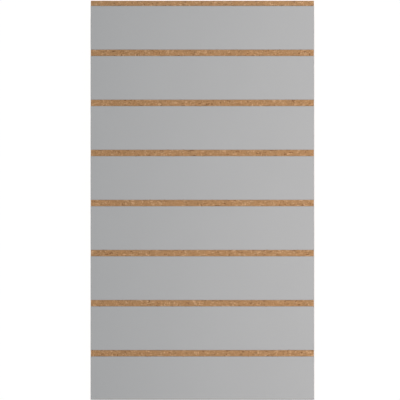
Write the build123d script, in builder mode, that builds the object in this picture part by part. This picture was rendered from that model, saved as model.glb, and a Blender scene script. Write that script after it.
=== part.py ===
"""Slotted display panel: a board with T-slots milled across it, and a laminate face left on its slats.

It lies on its back, face up. +X runs along the grooves, +Y towards the panel's top edge and +Z out of
the face. The origin is in the middle of the back.
"""

import os

from build123d import *

# Driving dimensions, in millimetres
panel_width = 340.0  # along the grooves
groove_pitch = 76.2  # from one groove to the next
groove_count = 8  # mouths on the face, with the one that is open at the top edge
saw_kerf = 2.4  # lost where the panel is sawn from its sheet, half of it on each side of the cut

web_thickness = 6.35  # board left behind the channels
channel_depth = 6.35  # the wide part of a T-slot, measured through the board
lip_thickness = 5.55  # board in front of the channels
laminate_thickness = 0.8  # the face sheet

mouth_height = 9.525  # the narrow part of a T-slot, open at the face
channel_height = 25.4
channel_corner_radius = 0.8  # left by the rounded tips of the slot cutter
laminate_easing = 0.3  # the arris rubbed off the face sheet's edges

# The sheet is sawn along the upper side of a mouth, at the top of the panel and again below its last slat
panel_height = groove_count * groove_pitch - saw_kerf
top_edge = panel_height / 2
bottom_edge = -panel_height / 2
board_thickness = web_thickness + channel_depth + lip_thickness

# Middles of the grooves from the top edge down, with the one that the lower saw cut opens
first_groove = top_edge + saw_kerf / 2 - mouth_height / 2
grooves = [first_groove - number * groove_pitch for number in range(groove_count + 1)]

os.makedirs("parts", exist_ok=True)

# The board: its section is cut by every groove, then drawn out along them
with BuildPart() as board:
    with BuildSketch(Plane.YZ):
        with Locations((0, board_thickness / 2)):
            Rectangle(panel_height, board_thickness)
        for groove in grooves:
            with Locations((groove, web_thickness + channel_depth / 2)):
                RectangleRounded(channel_height, channel_depth, channel_corner_radius, mode=Mode.SUBTRACT)
            with Locations((groove, board_thickness)):
                Rectangle(
                    mouth_height,
                    lip_thickness + channel_depth / 2,
                    align=(Align.CENTER, Align.MAX),
                    mode=Mode.SUBTRACT,
                )
    extrude(amount=panel_width / 2, both=True)
board.part.label = "grooved_board"
export_step(board.part, "parts/grooved_board.step")

# The face sheet: one strip on each slat, from a mouth's lower side to the next mouth or the sawn edge
for number in range(groove_count):
    slat_top = grooves[number] - mouth_height / 2
    slat_bottom = max(grooves[number + 1] + mouth_height / 2, bottom_edge)
    with BuildPart() as strip:
        with BuildSketch(Plane.XY.offset(board_thickness)):
            with Locations((0, (slat_top + slat_bottom) / 2)):
                Rectangle(panel_width, slat_top - slat_bottom)
        extrude(amount=laminate_thickness)
        face = strip.faces().sort_by(Axis.Z)[-1]
        fillet(face.edges(), laminate_easing)
    strip.part.label = f"laminate_strip_{number + 1}"
    export_step(strip.part, f"parts/{strip.part.label}.step")
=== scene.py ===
"""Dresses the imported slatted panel: its milled chipboard, the grey laminate on its slats, and a stage.

Everything is in metres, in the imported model's own frame: +X runs along the grooves, +Y towards the
panel's top edge and +Z out of its face.
"""

import math
import random

import bpy
import numpy as np
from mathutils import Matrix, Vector, noise


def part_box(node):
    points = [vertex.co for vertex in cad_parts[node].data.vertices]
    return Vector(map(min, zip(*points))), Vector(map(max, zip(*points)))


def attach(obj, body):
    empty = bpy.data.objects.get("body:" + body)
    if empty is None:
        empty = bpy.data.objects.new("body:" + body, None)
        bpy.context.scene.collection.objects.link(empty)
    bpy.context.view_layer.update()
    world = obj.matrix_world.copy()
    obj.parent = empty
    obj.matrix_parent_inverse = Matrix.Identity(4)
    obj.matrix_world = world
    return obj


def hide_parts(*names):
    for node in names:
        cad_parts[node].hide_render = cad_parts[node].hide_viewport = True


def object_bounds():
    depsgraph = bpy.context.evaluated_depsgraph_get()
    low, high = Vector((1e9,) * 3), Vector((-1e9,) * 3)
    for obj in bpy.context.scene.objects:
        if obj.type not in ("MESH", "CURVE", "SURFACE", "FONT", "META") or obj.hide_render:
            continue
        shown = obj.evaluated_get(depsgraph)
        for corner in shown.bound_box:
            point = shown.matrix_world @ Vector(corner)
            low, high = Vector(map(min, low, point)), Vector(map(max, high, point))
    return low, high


bl_info = {
    "name": "Slatted panel",
    "version": (1, 0, 0),
    "blender": (4, 5, 0),
    "location": "View3D > Sidebar > Slatted panel",
    "description": "Builds the milled board, its laminate strips and a plain stage for the panel",
    "category": "Add Mesh",
}

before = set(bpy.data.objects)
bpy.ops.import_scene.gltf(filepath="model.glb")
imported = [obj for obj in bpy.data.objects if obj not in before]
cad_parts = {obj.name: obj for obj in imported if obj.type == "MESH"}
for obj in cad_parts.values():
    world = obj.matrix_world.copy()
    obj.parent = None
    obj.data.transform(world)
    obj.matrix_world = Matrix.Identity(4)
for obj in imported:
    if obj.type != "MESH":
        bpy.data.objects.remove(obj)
CAD_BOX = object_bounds()

MM = 0.001
BODY = "root"
BOARD_NODE = "grooved_board"
STRIP_NODES = sorted(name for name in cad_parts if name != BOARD_NODE)

# The photograph's frame, and how many of its pixels lie from one groove to the next
FRAME_PIXELS = 400.0
PITCH_PIXELS = 50.07


def a_length(name, description, default):
    """A size that a user may change, in metres."""
    return bpy.props.FloatProperty(
        name=name, description=description, default=default, min=0.0, unit="LENGTH", precision=5
    )


def a_shift(name, description, default):
    """A step to either side that a user may change, in metres."""
    return bpy.props.FloatProperty(
        name=name, description=description, default=default, unit="LENGTH", precision=5
    )


def a_number(name, description, default):
    """A plain number that a user may change, from nothing upwards."""
    return bpy.props.FloatProperty(name=name, description=description, default=default, min=0.0)


def a_colour(name, description, default):
    """A colour that a user may change, as linear light."""
    return bpy.props.FloatVectorProperty(
        name=name, description=description, default=default, size=3, min=0.0, max=1.0, subtype="COLOR"
    )


class BoardSizes(bpy.types.PropertyGroup):
    """The T-slots' section, and how rough the cutters left the board."""

    web: a_length("Web", "Board left behind the channels", 6.35 * MM)
    channel_depth: a_length("Channel depth", "The wide part of a T-slot, through the board", 6.35 * MM)
    channel_height: a_length("Channel height", "The wide part of a T-slot, across the grooves", 25.4 * MM)
    corner_radius: a_length("Corner radius", "Rounding left by the slot cutter's tips", 0.8 * MM)
    arris: a_length("Arris", "Rubbed off the board's sharp edges", 0.22 * MM)
    ripple: a_length("Ripple", "Between the bumps of a cut face", 3.1 * MM)
    ripple_depth: a_length("Ripple depth", "How uneven a cut face is", 0.08 * MM)
    pit: a_length("Pits", "Between places where a chip may tear out", 4.3 * MM)
    pit_depth: a_length("Pit depth", "How deep a torn-out chip may go", 0.4 * MM)
    section_step: a_length("Section step", "Between points across the grooves", 1.5 * MM)
    shoulder_step: a_length("Shoulder step", "Between points on the hidden shoulders", 3.0 * MM)
    flat_step: a_length("Flat step", "Between points on faces that no cutter touched", 12.0 * MM)
    sweep_step: a_length("Sweep step", "Between points along the grooves", 2.2 * MM)


class BoardChips(bpy.types.PropertyGroup):
    """What the board is pressed from, as a cut through it shows."""

    flakes: a_number("Flakes", "Flakes in a metre, side by side", 680.0)
    slim_along: a_number("Slimness along X", "Width over length of a flake that is long in X", 0.36)
    slim_across: a_number("Slimness along Y", "Width over length of a flake that is long in Y", 0.40)
    flatness: a_number("Flatness", "Width over thickness of a chip", 2.4)
    small_chips: a_number("Small chips", "Small chips in a metre, among the flakes", 1000.0)
    small_weight: a_number("Small chip weight", "How far small chips hide the flakes", 0.8)
    splinters: a_number("Splinters", "Splinters in a metre of a chip's outline", 900.0)
    ragged: a_length("Ragged", "How far a chip's outline strays", 1.2 * MM)
    streaks: a_number("Streaks", "Streaks of grain in a metre", 2100.0)
    streak_depth: a_number("Streak depth", "How far the grain darkens and lightens a chip", 0.36)
    # A gap's darkening is painted shade in the sunken gaps between flakes
    gap_painted_shade: a_number("Gap depth", "How far a gap between flakes is darkened", 0.45)
    drifts: a_number("Drifts", "Turns to redder or greyer wood in a metre", 70.0)
    skin: a_length("Skin", "There are only fine chips this close to a face of the board", 0.6 * MM)
    skin_end: a_length("Skin end", "The fine chips end this deep in the board", 3.2 * MM)
    relief: a_length("Relief", "How far cut chips stand up and sink", 0.16 * MM)


class StripSizes(bpy.types.PropertyGroup):
    """The laminate's face, and its edges where the cutter chipped them."""

    easing: a_length("Easing", "Radius rubbed onto the face's edges", 0.3 * MM)
    decor: a_length("Decor paper", "Grey paper over the brown core sheets", 0.14 * MM)
    pearls: a_number("Pearls", "Grains of the pressed face in a metre", 1500.0)
    pearl_relief: a_length("Pearl relief", "How far the pressed grain stands up", 0.03 * MM)
    clouds: a_number("Clouds", "Turns to paler or darker grey in a metre", 14.0)
    chip_depth: a_length("Chip depth", "How far a chipped edge may be set back", 0.5 * MM)
    chip_reach: a_length("Chip reach", "How far in from the edge a chip is felt", 1.6 * MM)
    chip_spacing: a_length("Chip spacing", "Between chips along an edge, on average", 20.0 * MM)
    splinter: a_length("Splinter", "Between the splinters of a chip's outline", 0.4 * MM)
    stray: a_length("Stray", "How far the cutter strayed from its line, on average", 0.03 * MM)
    stray_run: a_length("Stray run", "How far the cutter ran between strays", 9.0 * MM)
    cross_step: a_length("Cross step", "Between points across a strip", 8.0 * MM)
    sweep_step: a_length("Sweep step", "Between points along the grooves", 1.6 * MM)


class Finishes(bpy.types.PropertyGroup):
    """The colours, as linear light."""

    chip_plain: a_colour("Plain chips", "Most of the chipboard", (0.472, 0.274, 0.130))
    chip_dark: a_colour("Dark chips", "Bark and scorched chips", (0.235, 0.120, 0.052))
    chip_pale: a_colour("Pale chips", "Clean sapwood chips", (0.590, 0.376, 0.211))
    laminate_grey: a_colour("Laminate", "The face's grey", (0.408, 0.419, 0.428))
    laminate_core: a_colour("Laminate core", "The brown sheets under the grey", (0.115, 0.062, 0.036))
    floor: a_colour("Floor", "The plain pale floor", (0.80, 0.80, 0.80))


class StageSizes(bpy.types.PropertyGroup):
    """The camera, and the light that each lamp gives."""

    lens: bpy.props.FloatProperty(name="Lens", description="Focal length", default=600.0, unit="CAMERA")
    aim_right: a_shift("Aim right", "From the panel's middle", -3.62 * MM)
    aim_up: a_shift("Aim up", "From the panel's middle", -0.14 * MM)
    key_light: a_number("Key light", "Strength of the lamp above the face", 1.166)
    side_light: a_number("Side light", "Power of the lamp feathered in from the right", 704.0)
    floor_light: a_number("Floor light", "Strength of the lamp that the floor has to itself", 2.44)
    room_light: a_number("Room light", "Strength of the light from all round", 0.10)
    floor_glow: a_number("Floor glow", "What makes the lit floor white to the eye", 0.53)


class Field:
    """What a socket gives over a surface. Python's operators on it add the nodes that work it out."""

    def __init__(self, tree, socket):
        self.tree = tree
        self.socket = socket

    def worked(self, operation, first, second):
        """Vector Math where a vector takes part, a Mix where a colour does, and otherwise Math."""
        kinds = [x.socket.type for x in (first, second) if isinstance(x, Field)]
        if "VECTOR" in kinds:
            node = self.tree.nodes.new("ShaderNodeVectorMath")
            node.operation = operation
        elif "RGBA" in kinds or any(isinstance(x, tuple) for x in (first, second)):
            node = self.tree.nodes.new("ShaderNodeMix")
            node.data_type = "RGBA"
            node.blend_type = operation
            feed(node, "Factor", 1.0)
        else:
            node = self.tree.nodes.new("ShaderNodeMath")
            node.operation = operation
        sockets = [s for s in node.inputs if s.enabled and s.name != "Factor"]
        for socket, value in zip(sockets, (first, second)):
            feed(node, socket.identifier, value)
        return Field(self.tree, next(s for s in node.outputs if s.enabled))

    def __add__(self, other):
        return self.worked("ADD", self, other)

    def __radd__(self, other):
        return self.worked("ADD", other, self)

    def __sub__(self, other):
        return self.worked("SUBTRACT", self, other)

    def __rsub__(self, other):
        return self.worked("SUBTRACT", other, self)

    def __mul__(self, other):
        return self.worked("MULTIPLY", self, other)

    def __rmul__(self, other):
        return self.worked("MULTIPLY", other, self)


def feed(node, word, value):
    """Sets or links the one enabled input of a node that has this name or identifier."""
    socket = next(s for s in node.inputs if s.enabled and word in (s.identifier, s.name))
    if isinstance(value, Field):
        value.tree.links.new(value.socket, socket)
    elif socket.type == "RGBA":
        parts = (value,) * 3 if isinstance(value, (int, float)) else tuple(value)[:3]
        socket.default_value = (*parts, 1.0)
    elif socket.type == "VECTOR" and isinstance(value, (int, float)):
        socket.default_value = (value,) * 3
    else:
        socket.default_value = value


class NodeTree:
    """A material's or the world's nodes, added one at a time."""

    def __init__(self, owner):
        owner.use_nodes = True
        self.owner = owner
        self.tree = owner.node_tree
        self.tree.nodes.clear()

    def add(self, kind, settings=None, sockets=None, output=None):
        """A node of this kind: its settings are set first, then its sockets are set or linked."""
        node = self.tree.nodes.new(kind)
        for word, value in (settings or {}).items():
            if word == "stops":
                ramp = node.color_ramp.elements
                while len(ramp) < len(value):
                    ramp.new(1.0)
                for stop, (position, tint) in zip(ramp, value):
                    stop.position = position
                    stop.color = (*tint, 1.0)
            else:
                setattr(node, word, value)
        for word, value in (sockets or {}).items():
            feed(node, word, value)
        found = [s for s in node.outputs if s.enabled and output in (None, s.name)]
        return Field(self.tree, found[0]) if found else None

    def noise(self, place, per_metre, detail=2.0, roughness=0.5, output="Fac"):
        """Soft random variation, about nought to one."""
        sockets = {"Vector": place, "Scale": per_metre, "Detail": detail, "Roughness": roughness}
        return self.add("ShaderNodeTexNoise", None, sockets, output)

    def step(self, value, low, high):
        """Nought where value is under low, one where it is over high, and a smooth rise between."""
        settings = {"interpolation_type": "SMOOTHSTEP"}
        sockets = {"Value": value, "From Min": low, "From Max": high}
        return self.add("ShaderNodeMapRange", settings, sockets)

    def mix(self, amount, first, second):
        """Two colours, blended."""
        sockets = {"Factor": amount, "A": first, "B": second}
        return self.add("ShaderNodeMix", {"data_type": "RGBA"}, sockets)

    def larger(self, first, second):
        """The larger of two values."""
        sockets = {"Value": first, "Value_001": second}
        return self.add("ShaderNodeMath", {"operation": "MAXIMUM"}, sockets)

    def part(self, kind, whole, output):
        """One part of a colour or a vector."""
        word = "Color" if kind == "ShaderNodeSeparateColor" else "Vector"
        return self.add(kind, None, {word: whole}, output)

    def bump(self, height, strength, distance):
        """A normal that follows a height."""
        sockets = {"Strength": strength, "Distance": distance, "Height": height}
        return self.add("ShaderNodeBump", None, sockets)

    def surfaced(self, sockets):
        """The material, with a shader that these sockets feed."""
        shader = self.add("ShaderNodeBsdfPrincipled", None, sockets, "BSDF")
        self.add("ShaderNodeOutputMaterial", None, {"Surface": shader})
        return self.owner


def blended(first, second, amount):
    """One value that passes into another as amount goes from nought to one."""
    return first + (second - first) * amount


def scaled(tint, amount):
    """A colour, made darker or paler."""
    return tuple(amount * part for part in tint)


# A random share that passes these levels makes a flake long in Y, shows small chips or lets gaps show
TURNED_LEVELS = (0.54, 0.56)
SMALL_LEVELS = (0.62, 0.66)
PATCH_LEVELS = (0.52, 0.62)
# A gap fades out between these distances from a flake's edge, in flake widths
GAP_LEVELS = (0.01, 0.09)
# Small chips are only a little longer than wide, and streaks are slim and flat
SMALL_STRETCH = (0.7, 0.8, 1.0)
STREAK_SLIMNESS = 0.12
STREAK_FLATNESS = 1.6
# The fine chips under the board's faces are of about one shade
SKIN_SHADE = 0.30
SKIN_SPREAD = 0.35
SKIN_WEIGHT = 0.85
# What a drift does to the wood's colour
GREYER_WOOD = (0.97, 1.01, 1.06)
REDDER_WOOD = (1.03, 0.99, 0.94)
# Pale chips and streaks stand up in a cut, and gaps sink
SHADE_RELIEF = 0.35
STREAK_RELIEF = 0.45
GAP_RELIEF = 0.6
CUT_BUMP = 0.5
# A cut is dull, most of all on its pale streaks
CUT_ROUGHNESS = 0.76
STREAK_ROUGHNESS = 0.2
CUT_SPECULAR = 0.25


def flakes(nodes, place, per_metre):
    """One set of flakes: two random shares for each flake, and how far off its edge is."""
    sockets = {"Vector": place, "Scale": per_metre, "Randomness": 1.0}
    own = nodes.add("ShaderNodeTexVoronoi", {"feature": "F1"}, sockets, "Color")
    edge = nodes.add("ShaderNodeTexVoronoi", {"feature": "DISTANCE_TO_EDGE"}, sockets, "Distance")
    shade = nodes.part("ShaderNodeSeparateColor", own, "Red")
    pick = nodes.part("ShaderNodeSeparateColor", own, "Green")
    return shade, pick, edge


def grain(nodes, place, chips, stretch):
    """The wood's own streaks in a flake."""
    return nodes.noise(place * stretch, chips.streaks, roughness=0.6)


def fine_skin(nodes, place, chips, back, front):
    """One in the fine chips under both faces of the board, and nought in its core."""
    height = nodes.part("ShaderNodeSeparateXYZ", place, "Z")
    behind = 1.0 - nodes.step(height, back + chips.skin, back + chips.skin_end)
    return behind + nodes.step(height, front - chips.skin_end, front - chips.skin)


def chip_tints(colours):
    """What a chip's random share makes of it: a few are dark, most are plain and some are pale."""
    plain = tuple(colours.chip_plain)
    dark = tuple(colours.chip_dark)
    pale = tuple(colours.chip_pale)
    return [
        (0.00, dark),
        (0.05, scaled(dark, 1.15)),
        (0.065, scaled(plain, 0.74)),
        (0.12, scaled(plain, 0.80)),
        (0.14, scaled(plain, 0.91)),
        (0.50, plain),
        (0.85, scaled(plain, 1.09)),
        (0.87, pale),
        (1.00, scaled(pale, 1.15)),
    ]


def chipboard(colours, chips, back, front):
    """Pressed chips, cut through: a coarse core of flat flakes between two skins of fine chips."""
    nodes = NodeTree(bpy.data.materials.new("chipboard"))
    place = nodes.add("ShaderNodeTexCoord", None, None, "Object")
    wander = nodes.noise(place, chips.splinters, detail=3.0, output="Color")
    bent = place * (1.0, 1.0, chips.flatness) + (wander - 0.5) * chips.ragged

    # Flakes that are long in X lie among ones that are long in Y, with small chips between them
    shade, pick, edge = flakes(nodes, bent * (chips.slim_along, 1.0, 1.0), chips.flakes)
    turned_shade, _, turned_edge = flakes(nodes, bent * (1.0, chips.slim_across, 1.0), chips.flakes)
    small, small_pick, _ = flakes(nodes, bent * SMALL_STRETCH, chips.small_chips)
    turned = nodes.step(pick, *TURNED_LEVELS)
    shade = blended(shade, turned_shade, turned)
    edge = blended(edge, turned_edge, turned)
    streaks = grain(nodes, place, chips, (STREAK_SLIMNESS, 1.0, STREAK_FLATNESS))
    turned_streaks = grain(nodes, place, chips, (1.0, STREAK_SLIMNESS, STREAK_FLATNESS))
    streaks = blended(streaks, turned_streaks, turned)
    shade = blended(shade, small, nodes.step(small_pick, *SMALL_LEVELS) * chips.small_weight)
    fine = fine_skin(nodes, place, chips, back, front)
    shade = blended(shade, SKIN_SHADE + small * SKIN_SPREAD, fine * SKIN_WEIGHT)
    tint = nodes.add("ShaderNodeValToRGB", {"stops": chip_tints(colours)}, {"Fac": shade}, "Color")

    # Here and there a gap between flakes, darkened with painted shade, and slow drifts between redder and
    # greyer wood
    patches = nodes.step(nodes.noise(place, chips.splinters, detail=1.0), *PATCH_LEVELS)
    gap = (1.0 - nodes.step(edge, *GAP_LEVELS)) * patches * (1.0 - fine)
    drift = nodes.mix(nodes.noise(place, chips.drifts), GREYER_WOOD, REDDER_WOOD)
    streaked = 1.0 - 0.5 * chips.streak_depth + streaks * chips.streak_depth
    # Painted shade darkens the sunken gaps between flakes
    tint = tint * drift * (streaked * (1.0 - gap * chips.gap_painted_shade))

    relief = shade * SHADE_RELIEF + streaks * STREAK_RELIEF - gap * GAP_RELIEF
    return nodes.surfaced({
        "Base Color": tint,
        "Roughness": CUT_ROUGHNESS + streaks * STREAK_ROUGHNESS,
        "Specular IOR Level": CUT_SPECULAR,
        "Normal": nodes.bump(relief, CUT_BUMP, chips.relief),
    })


# The grey is a little darker than its colour, and the pearls and clouds lighten it again
DARKEST_GREY = 0.94
PEARL_LIGHT = 0.08
CLOUD_LIGHT = 0.04
# The grey passes into the brown core between these shares of the decor paper's thickness
DECOR_START = 0.75
DECOR_END = 1.25
PEARL_BUMP = 0.25
# The face is satin, a little duller on its pearls
FACE_ROUGHNESS = 0.52
PEARL_ROUGHNESS = 0.12
FACE_SPECULAR = 0.35


def laminate(colours, sizes, face):
    """Satin grey decor paper with a fine pressed grain. The brown core shows on a cut edge."""
    nodes = NodeTree(bpy.data.materials.new("grey_laminate"))
    place = nodes.add("ShaderNodeTexCoord", None, None, "Object")
    pearl = nodes.noise(place, sizes.pearls)
    cloud = nodes.noise(place, sizes.clouds)
    grey = tuple(colours.laminate_grey) * (DARKEST_GREY + pearl * PEARL_LIGHT + cloud * CLOUD_LIGHT)

    height = nodes.part("ShaderNodeSeparateXYZ", place, "Z")
    decor = nodes.step(height, face - DECOR_END * sizes.decor, face - DECOR_START * sizes.decor)
    return nodes.surfaced({
        "Base Color": nodes.mix(decor, tuple(colours.laminate_core), grey),
        "Roughness": FACE_ROUGHNESS + pearl * PEARL_ROUGHNESS,
        "Specular IOR Level": FACE_SPECULAR,
        "Normal": nodes.bump(pearl, PEARL_BUMP, sizes.pearl_relief),
    })


# Turns sharper than this stay hard edges in the shading
SHARP_ANGLE = math.radians(32.0)


def swept(name, rings):
    """A closed mesh through rings from low X to high X, each one anticlockwise as seen from high X."""
    count = len(rings[0])
    last = (len(rings) - 1) * count
    faces = [tuple(reversed(range(count)))]
    for near in range(0, last, count):
        far = near + count
        for index in range(count):
            after = (index + 1) % count
            faces.append((near + index, near + after, far + after, far + index))
    faces.append(tuple(range(last, last + count)))

    mesh = bpy.data.meshes.new(name)
    mesh.from_pydata([point for ring in rings for point in ring], [], faces)
    mesh.validate()
    return mesh


def linked(name, data):
    """A mesh, lamp or camera, put into the scene."""
    thing = bpy.data.objects.new(name, data)
    bpy.context.scene.collection.objects.link(thing)
    return thing


def placed(mesh, material):
    """A piece of the object, ready to ride on its body."""
    mesh.materials.append(material)
    mesh.shade_smooth()
    mesh.set_sharp_from_angle(angle=SHARP_ANGLE)
    return linked(mesh.name, mesh)


def groove_pitch():
    """From one slat's upper edge to the next one's."""
    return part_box(STRIP_NODES[0])[1].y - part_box(STRIP_NODES[1])[1].y


# On a short run the points that keep an arris narrow stay within this share of its ends
WIDEST_GUARD = 0.2
# Straight pieces in a channel's rounded corner
CORNER_SEGMENTS = 3
# The board's outline has an outer corner where the sine of its turn is over this
CORNER_SINE = 0.5
# A chip has torn out of a cut face where the pits' noise is over this level
PIT_LEVEL = 0.45
# Sets the pits' noise apart from the ripple's
PIT_SHIFT = Vector((17.0, 5.0, 11.0))


class Section:
    """The board's outline across its grooves, walked once round with the board on the left."""

    def __init__(self, step, guard):
        self.points = []
        self.cut = []
        self.step = step
        self.guard = guard

    def add(self, y, z, cut=1.0):
        """One more point, and how far the board may be roughened there."""
        self.points.append((y, z))
        self.cut.append(cut)

    def run(self, y, z, cut=1.0, step=None):
        """A straight run. It has a point close to each end, so that an arris stays narrow."""
        start = np.array(self.points[-1])
        end = np.array((y, z))
        size = np.linalg.norm(end - start)
        guard = min(self.guard / size, WIDEST_GUARD)
        count = max(1, round(size / (step or self.step)))
        for at in np.linspace(guard, 1.0 - guard, count + 1):
            self.add(*(start + (end - start) * at), cut)
        self.add(y, z)

    def turn(self, y, z, centre):
        """A rounded inner corner from here to a point, about its centre."""
        centre = np.array(centre)
        first = np.array(self.points[-1]) - centre
        last = np.array((y, z)) - centre
        for number in range(1, CORNER_SEGMENTS):
            quarter = 0.5 * math.pi * number / CORNER_SEGMENTS
            self.add(*(centre + first * math.cos(quarter) + last * math.sin(quarter)))
        self.add(y, z)


def board_section(sizes):
    """The section's points, and how far the board may be roughened at each."""
    low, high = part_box(BOARD_NODE)
    slats = [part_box(node) for node in STRIP_NODES]
    mouth = slats[0][0].y - slats[1][1].y
    grooves = [slat[1].y + mouth / 2 for slat in slats]
    grooves.append(grooves[-1] - groove_pitch())
    half = sizes.channel_height / 2
    radius = sizes.corner_radius
    floor = low.z + sizes.web
    shoulder = floor + sizes.channel_depth
    guard = 2.0 * sizes.arris
    line = Section(sizes.section_step, guard)

    def down_from_mouth(groove, wall):
        """From the mouth's upper wall, round the channel's upper end, to the floor."""
        end = groove + half
        line.run(wall, shoulder)
        line.run(end - radius, shoulder, step=sizes.shoulder_step)
        line.turn(end, shoulder - radius, (end - radius, shoulder - radius))
        line.run(end, floor + radius)
        line.turn(end - radius, floor, (end - radius, floor + radius))

    def up_to_mouth(groove):
        """Along the floor, round the channel's lower end and up to the face."""
        end = groove - half
        line.run(end + radius, floor)
        line.turn(end, floor + radius, (end + radius, floor + radius))
        line.run(end, shoulder - radius)
        line.turn(end + radius, shoulder, (end + radius, shoulder - radius))
        line.run(groove - mouth / 2, shoulder, step=sizes.shoulder_step)
        line.run(groove - mouth / 2, high.z)

    line.add(low.y, low.z)
    line.run(high.y, low.z, cut=0.0, step=sizes.flat_step)
    line.run(high.y, floor)
    up_to_mouth(grooves[0])
    for groove in grooves[1:-1]:
        line.run(groove + mouth / 2, high.z, cut=0.0, step=sizes.flat_step)
        down_from_mouth(groove, groove + mouth / 2)
        up_to_mouth(groove)
    line.run(low.y, high.z, cut=0.0, step=sizes.flat_step)
    down_from_mouth(grooves[-1], low.y)
    line.run(low.y, floor)
    line.run(low.y, low.z)
    return np.array(line.points[:-1]), np.array(line.cut[:-1])


def unit(vectors):
    """Directions, each of length one."""
    return vectors / np.linalg.norm(vectors, axis=1)[:, None]


def corners(points):
    """Which way into the board is at each point of its outline, and which are sharp outer corners."""
    ahead = unit(np.roll(points, -1, axis=0) - points)
    behind = unit(points - np.roll(points, 1, axis=0))
    along = ahead + behind
    inward = unit(np.stack([-along[:, 1], along[:, 0]], axis=1))
    sine = behind[:, 0] * ahead[:, 1] - behind[:, 1] * ahead[:, 0]
    return inward, sine > CORNER_SINE


def roughened(place, sizes):
    """How far a cut face lies inside its true line: a fine ripple, and now and then a pit."""
    ripple = noise.noise(place / sizes.ripple)
    pit = noise.noise(place / sizes.pit + PIT_SHIFT)
    return sizes.ripple_depth * (0.5 + 0.5 * ripple) + sizes.pit_depth * max(0.0, pit - PIT_LEVEL)


def board_mesh(sizes):
    """The section swept along the grooves, with torn-out pits and rubbed edges."""
    points, cut = board_section(sizes)
    inward, sharp = corners(points)
    low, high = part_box(BOARD_NODE)
    count = round((high.x - low.x) / sizes.sweep_step)
    inner = np.linspace(low.x + sizes.arris, high.x - sizes.arris, count)

    rings = []
    for x in (low.x, *inner, high.x):
        rubbed = sizes.arris * sharp
        if x in (low.x, high.x):
            rubbed = rubbed + sizes.arris
        rough = np.array([roughened(Vector((x, y, z)), sizes) for y, z in points])
        moved = points + inward * (rubbed + rough * cut)[:, None]
        moved[:, 1] = np.maximum(moved[:, 1], low.z)
        rings.append([(x, y, z) for y, z in moved])
    return swept("milled_board", rings)


# A chip in the laminate's edge breaks off steeply on one side and runs out gently on the other
STEEP_RUN = (0.3 * MM, 0.8 * MM)
GENTLE_RUN = (0.9 * MM, 2.8 * MM)
# Most chips are shallow: a chip's depth is a random share to this power
CHIP_POWER = 1.5
# Where a chip's outline has points, as shares of its run before and after its worst place
BEFORE_CHIP = (1.0, 0.66, 0.33)
AFTER_CHIP = (0.0, 0.2, 0.45, 0.7, 1.0)
# No two points along a strip are closer than this
CLOSEST_POINTS = 0.12 * MM
# A chip is ragged: its depth varies about this share of it, by up to the swing
RAGGED_SHARE = 0.85
RAGGED_SWING = 0.3
# Layers of one noise, so that the chips and the cutter's straying differ
STRAY_LAYER = 0.0
CHIP_LAYER = 3.0
# Where the eased edge has points, in degrees round it, and where the flat face beside it has them
EASED_ANGLES = (0, 30, 60, 90)
BESIDE_EDGE = (0.8 * MM, 2.0 * MM)
# A chipped edge falls too, by this share of how far it is set back
FALL_SHARE = 0.5
# No wear goes deeper than this share of the laminate
DEEPEST_FALL = 0.8


def edge_chips(draw, low, high, sizes):
    """Chips along one edge: where each is worst, how far it runs each way, and how deep it is."""
    chips = []
    at = low + draw.expovariate(1.0 / sizes.chip_spacing)
    while at < high:
        steep = draw.uniform(*STEEP_RUN)
        gentle = draw.uniform(*GENTLE_RUN)
        runs = (steep, gentle) if draw.random() < 0.5 else (gentle, steep)
        chips.append((at, *runs, sizes.chip_depth * draw.random() ** CHIP_POWER))
        at += draw.expovariate(1.0 / sizes.chip_spacing)
    return chips


def set_back(chips, x, lane, sizes):
    """How far an edge is set back at x by its chips and by the cutter's straying."""
    ragged = noise.noise(Vector((x / sizes.splinter, lane, CHIP_LAYER)))
    deepest = 0.0
    for at, before, after, depth in chips:
        run = before if x < at else after
        worst = depth * (RAGGED_SHARE + RAGGED_SWING * ragged)
        deepest = max(deepest, worst * (1.0 - abs(x - at) / run))
    stray = noise.noise(Vector((x / sizes.stray_run, lane, STRAY_LAYER)))
    return deepest + sizes.stray * (1.0 + stray)


def with_chips(places, chips):
    """The places along a strip, with more of them at each chip so that its broken outline shows."""
    every = list(places)
    for at, before, after, _ in chips:
        every.extend(at - before * part for part in BEFORE_CHIP)
        every.extend(at + after * part for part in AFTER_CHIP)
    kept = [places[0]]
    for x in sorted(every):
        if kept[-1] + CLOSEST_POINTS < x < places[-1] - CLOSEST_POINTS:
            kept.append(x)
    kept.append(places[-1])
    return kept


def spread(low, high, easing, step):
    """Places across a strip: close together at its two eased edges, and a step apart between."""
    near = [easing * (1.0 - math.cos(math.radians(angle))) for angle in EASED_ANGLES]
    near.extend(BESIDE_EDGE)
    count = max(1, round((high - low - 2.0 * near[-1]) / step))
    middle = np.linspace(low + near[-1], high - near[-1], count + 1)[1:-1]
    return np.concatenate([low + np.array(near), middle, high - np.array(near[::-1])])


def eased(distance, easing):
    """How far the face falls at this distance in from an edge."""
    inside = np.clip(1.0 - distance / easing, 0.0, 1.0)
    return easing * (1.0 - np.sqrt(1.0 - inside**2))


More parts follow.
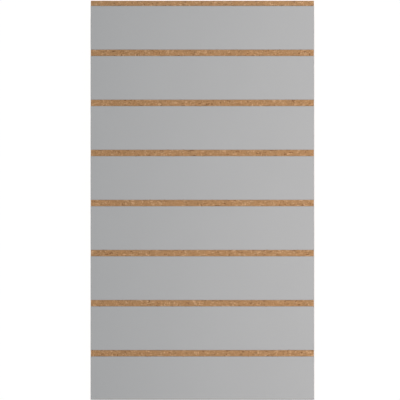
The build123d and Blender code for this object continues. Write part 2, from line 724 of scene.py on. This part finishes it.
def strip_mesh(name, low, high, sizes, draw):
    """One slat's strip of laminate, with eased edges that are chipped where the cutter left them."""
    across = spread(low.y, high.y, sizes.easing, sizes.cross_step)
    lower = edge_chips(draw, low.x, high.x, sizes)
    upper = edge_chips(draw, low.x, high.x, sizes)
    along = with_chips(spread(low.x, high.x, sizes.easing, sizes.sweep_step), lower + upper)
    deepest = DEEPEST_FALL * (high.z - low.z)

    rings = []
    for x in along:
        lower_back = set_back(lower, x, low.y / MM, sizes)
        upper_back = set_back(upper, x, high.y / MM, sizes)
        end_fall = eased(min(x - low.x, high.x - x), sizes.easing)
        top = []
        for y in across:
            from_low = max(0.0, 1.0 - (y - low.y) / sizes.chip_reach) ** 2 * lower_back
            from_high = max(0.0, 1.0 - (high.y - y) / sizes.chip_reach) ** 2 * upper_back
            fall = max(eased(min(y - low.y, high.y - y), sizes.easing), end_fall)
            worn = min(fall + FALL_SHARE * (from_low + from_high), deepest)
            top.append((x, y + from_low - from_high, high.z - worn))
        under = [(x, y, low.z) for y in (top[0][1], top[-1][1])]
        rings.append(under + top[::-1])
    return swept(name, rings)


class SLATTED_OT_board(bpy.types.Operator):
    """Build the board with its milled T-slots"""

    bl_idname = "slatted.board"
    bl_label = "Milled board"
    bl_options = {"REGISTER", "UNDO"}

    def execute(self, context):
        scene = context.scene
        low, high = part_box(BOARD_NODE)
        material = chipboard(scene.slatted_finishes, scene.slatted_chips, low.z, high.z)
        piece = placed(board_mesh(scene.slatted_board), material)
        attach(piece, BODY)
        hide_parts(BOARD_NODE)
        return {"FINISHED"}


class SLATTED_OT_strips(bpy.types.Operator):
    """Lay a strip of grey laminate on each slat"""

    bl_idname = "slatted.strips"
    bl_label = "Laminate strips"
    bl_options = {"REGISTER", "UNDO"}

    def execute(self, context):
        scene = context.scene
        sizes = scene.slatted_strips
        material = laminate(scene.slatted_finishes, sizes, CAD_BOX[1].z)
        for number, node in enumerate(STRIP_NODES, start=1):
            low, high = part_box(node)
            mesh = strip_mesh(f"laminate_slat_{number}", low, high, sizes, random.Random(number))
            piece = placed(mesh, material)
            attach(piece, BODY)
            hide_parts(node)
        return {"FINISHED"}


# The key lamp is a cool sun almost straight above the face, this many radians across
KEY_ANGLE = 0.06
KEY_PLACE = (0.20, 0.02, 3.0)
KEY_TINT = (0.965, 1.0, 1.023)
# The side lamp is a warm spot aimed past the panel's right side, so that its soft edge falls across it
SIDE_PLACE = (0.5, 0.0, 5.0)
SIDE_TARGET = (1.53, 0.0, 0.0)
SIDE_CONE = math.radians(52.6)
SIDE_SOFTNESS = 1.0
SIDE_RADIUS = 0.15
SIDE_TINT = (1.08, 0.99, 0.94)
# The floor's own lamp is a soft sun behind the top edge, so that the shadow falls before the bottom edge
FLOOR_LAMP_ANGLE = 0.12
FLOOR_LAMP_PLACE = (0.0, 3.6, 3.0)
ROOM_TINT = (0.95, 1.0, 1.04)
WHITE = (1.0, 1.0, 1.0)
FLOOR_REACH = 30.0


def seen_or_lit(nodes, seen, lit):
    """One shader for what the camera, a gloss or a glass sees, and one for the light sent on."""
    looked_at = nodes.add("ShaderNodeLightPath", None, None, "Is Camera Ray")
    for word in ("Is Glossy Ray", "Is Transmission Ray"):
        looked_at = nodes.larger(looked_at, nodes.add("ShaderNodeLightPath", None, None, word))
    return nodes.add("ShaderNodeMixShader", None, {"Fac": looked_at, "Shader": lit, "Shader_001": seen})


def floor_material(colour, glow):
    """A pale floor that looks white, with the panel's shadow left on it."""
    nodes = NodeTree(bpy.data.materials.new("pale_floor"))
    lit = nodes.add("ShaderNodeBsdfDiffuse", None, {"Color": tuple(colour)})
    glowing = nodes.add("ShaderNodeEmission", None, {"Color": WHITE, "Strength": glow})
    seen = nodes.add("ShaderNodeAddShader", None, {"Shader": lit, "Shader_001": glowing})
    nodes.add("ShaderNodeOutputMaterial", None, {"Surface": seen_or_lit(nodes, seen, lit)})
    return nodes.owner


def wide_floor(material):
    """A flat floor under the panel, so wide that no view shows its end."""
    far = FLOOR_REACH
    ends = [(-far, -far, 0.0), (far, -far, 0.0), (far, far, 0.0), (-far, far, 0.0)]
    mesh = bpy.data.meshes.new("floor")
    mesh.from_pydata(ends, [], [(0, 1, 2, 3)])
    mesh.materials.append(material)
    return linked("floor", mesh)


def room(strength):
    """A dim cool light from all round, behind a white that only the eye sees."""
    world = bpy.data.worlds.new("plain_room")
    nodes = NodeTree(world)
    lit = nodes.add("ShaderNodeBackground", None, {"Color": ROOM_TINT, "Strength": strength})
    seen = nodes.add("ShaderNodeBackground", None, {"Color": WHITE, "Strength": 1.0})
    nodes.add("ShaderNodeOutputWorld", None, {"Surface": seen_or_lit(nodes, seen, lit)})
    return world


def lamp(name, kind, place, target, settings):
    """A lamp that points from a place at a target."""
    data = bpy.data.lights.new(name, kind)
    for word, value in settings.items():
        setattr(data, word, value)
    made = linked(name, data)
    made.location = place
    made.rotation_mode = "QUATERNION"
    made.rotation_quaternion = (Vector(target) - Vector(place)).to_track_quat("-Z", "Y")
    made.visible_camera = False
    return made


def kept_to(name, lamps, thing, state):
    """Keeps lamps to one thing, where the state is INCLUDE, or off it, where it is EXCLUDE."""
    group = bpy.data.collections.new(name)
    group.objects.link(thing)
    group.collection_objects[0].light_linking.link_state = state
    for made in lamps:
        made.light_linking.receiver_collection = group


def camera(sizes, face):
    """A camera that looks straight down, with the grooves as far apart as in the photograph."""
    data = bpy.data.cameras.new("camera")
    data.lens = sizes.lens
    seen_width = groove_pitch() / PITCH_PIXELS * FRAME_PIXELS
    above_face = seen_width * data.lens / data.sensor_width
    made = linked("camera", data)
    made.location = (sizes.aim_right, sizes.aim_up, face + above_face)
    return made


class SLATTED_OT_stage(bpy.types.Operator):
    """Set up the pale floor, the soft studio light and the camera that looks straight down"""

    bl_idname = "slatted.stage"
    bl_label = "Stage"
    bl_options = {"REGISTER", "UNDO"}

    def execute(self, context):
        scene = context.scene
        sizes = scene.slatted_stage
        face = CAD_BOX[1].z
        scene.view_settings.view_transform = "Standard"
        scene.world = room(sizes.room_light)
        floor = wide_floor(floor_material(scene.slatted_finishes.floor, sizes.floor_glow))

        key = {"energy": sizes.key_light, "angle": KEY_ANGLE, "color": KEY_TINT}
        key_lamp = lamp("key_lamp", "SUN", KEY_PLACE, (0.0, 0.0, face), key)
        side = {
            "energy": sizes.side_light,
            "color": SIDE_TINT,
            "spot_size": SIDE_CONE,
            "spot_blend": SIDE_SOFTNESS,
            "shadow_soft_size": SIDE_RADIUS,
        }
        side_lamp = lamp("side_lamp", "SPOT", SIDE_PLACE, SIDE_TARGET, side)
        kept_to("all_but_floor", (key_lamp, side_lamp), floor, "EXCLUDE")
        own = {"energy": sizes.floor_light, "angle": FLOOR_LAMP_ANGLE}
        floor_lamp = lamp("floor_lamp", "SUN", FLOOR_LAMP_PLACE, (0.0, 0.0, 0.0), own)
        kept_to("floor_alone", (floor_lamp,), floor, "INCLUDE")
        scene.camera = camera(sizes, face)
        return {"FINISHED"}


class SLATTED_PT_panel(bpy.types.Panel):
    """The panel's sizes and finishes, and the buttons that build it"""

    bl_idname = "SLATTED_PT_panel"
    bl_label = "Slatted panel"
    bl_space_type = "VIEW_3D"
    bl_region_type = "UI"
    bl_category = "Slatted panel"

    def draw(self, context):
        for operator, groups in BUTTONS:
            box = self.layout.box()
            box.operator(operator.bl_idname)
            for group in groups:
                self.list_settings(box, context.scene, group)
        box = self.layout.box()
        box.label(text="Finishes")
        self.list_settings(box, context.scene, "slatted_finishes")

    def list_settings(self, box, scene, group):
        """One line for each setting in a group."""
        for word in GROUPS[group].__annotations__:
            box.prop(getattr(scene, group), word)


GROUPS = {
    "slatted_board": BoardSizes,
    "slatted_chips": BoardChips,
    "slatted_strips": StripSizes,
    "slatted_finishes": Finishes,
    "slatted_stage": StageSizes,
}
BUTTONS = (
    (SLATTED_OT_board, ("slatted_board", "slatted_chips")),
    (SLATTED_OT_strips, ("slatted_strips",)),
    (SLATTED_OT_stage, ("slatted_stage",)),
)
CLASSES = (*GROUPS.values(), SLATTED_OT_board, SLATTED_OT_strips, SLATTED_OT_stage, SLATTED_PT_panel)


def register():
    """Registers the classes, and gives every scene its settings."""
    for made in CLASSES:
        bpy.utils.register_class(made)
    for word, group in GROUPS.items():
        setattr(bpy.types.Scene, word, bpy.props.PointerProperty(type=group))


def unregister():
    """Takes back what register gave."""
    for word in GROUPS:
        delattr(bpy.types.Scene, word)
    for made in reversed(CLASSES):
        bpy.utils.unregister_class(made)


def main():
    """Builds the pieces and the stage."""
    register()
    bpy.ops.slatted.board()
    bpy.ops.slatted.strips()
    bpy.ops.slatted.stage()


if __name__ == "__main__":
    main()
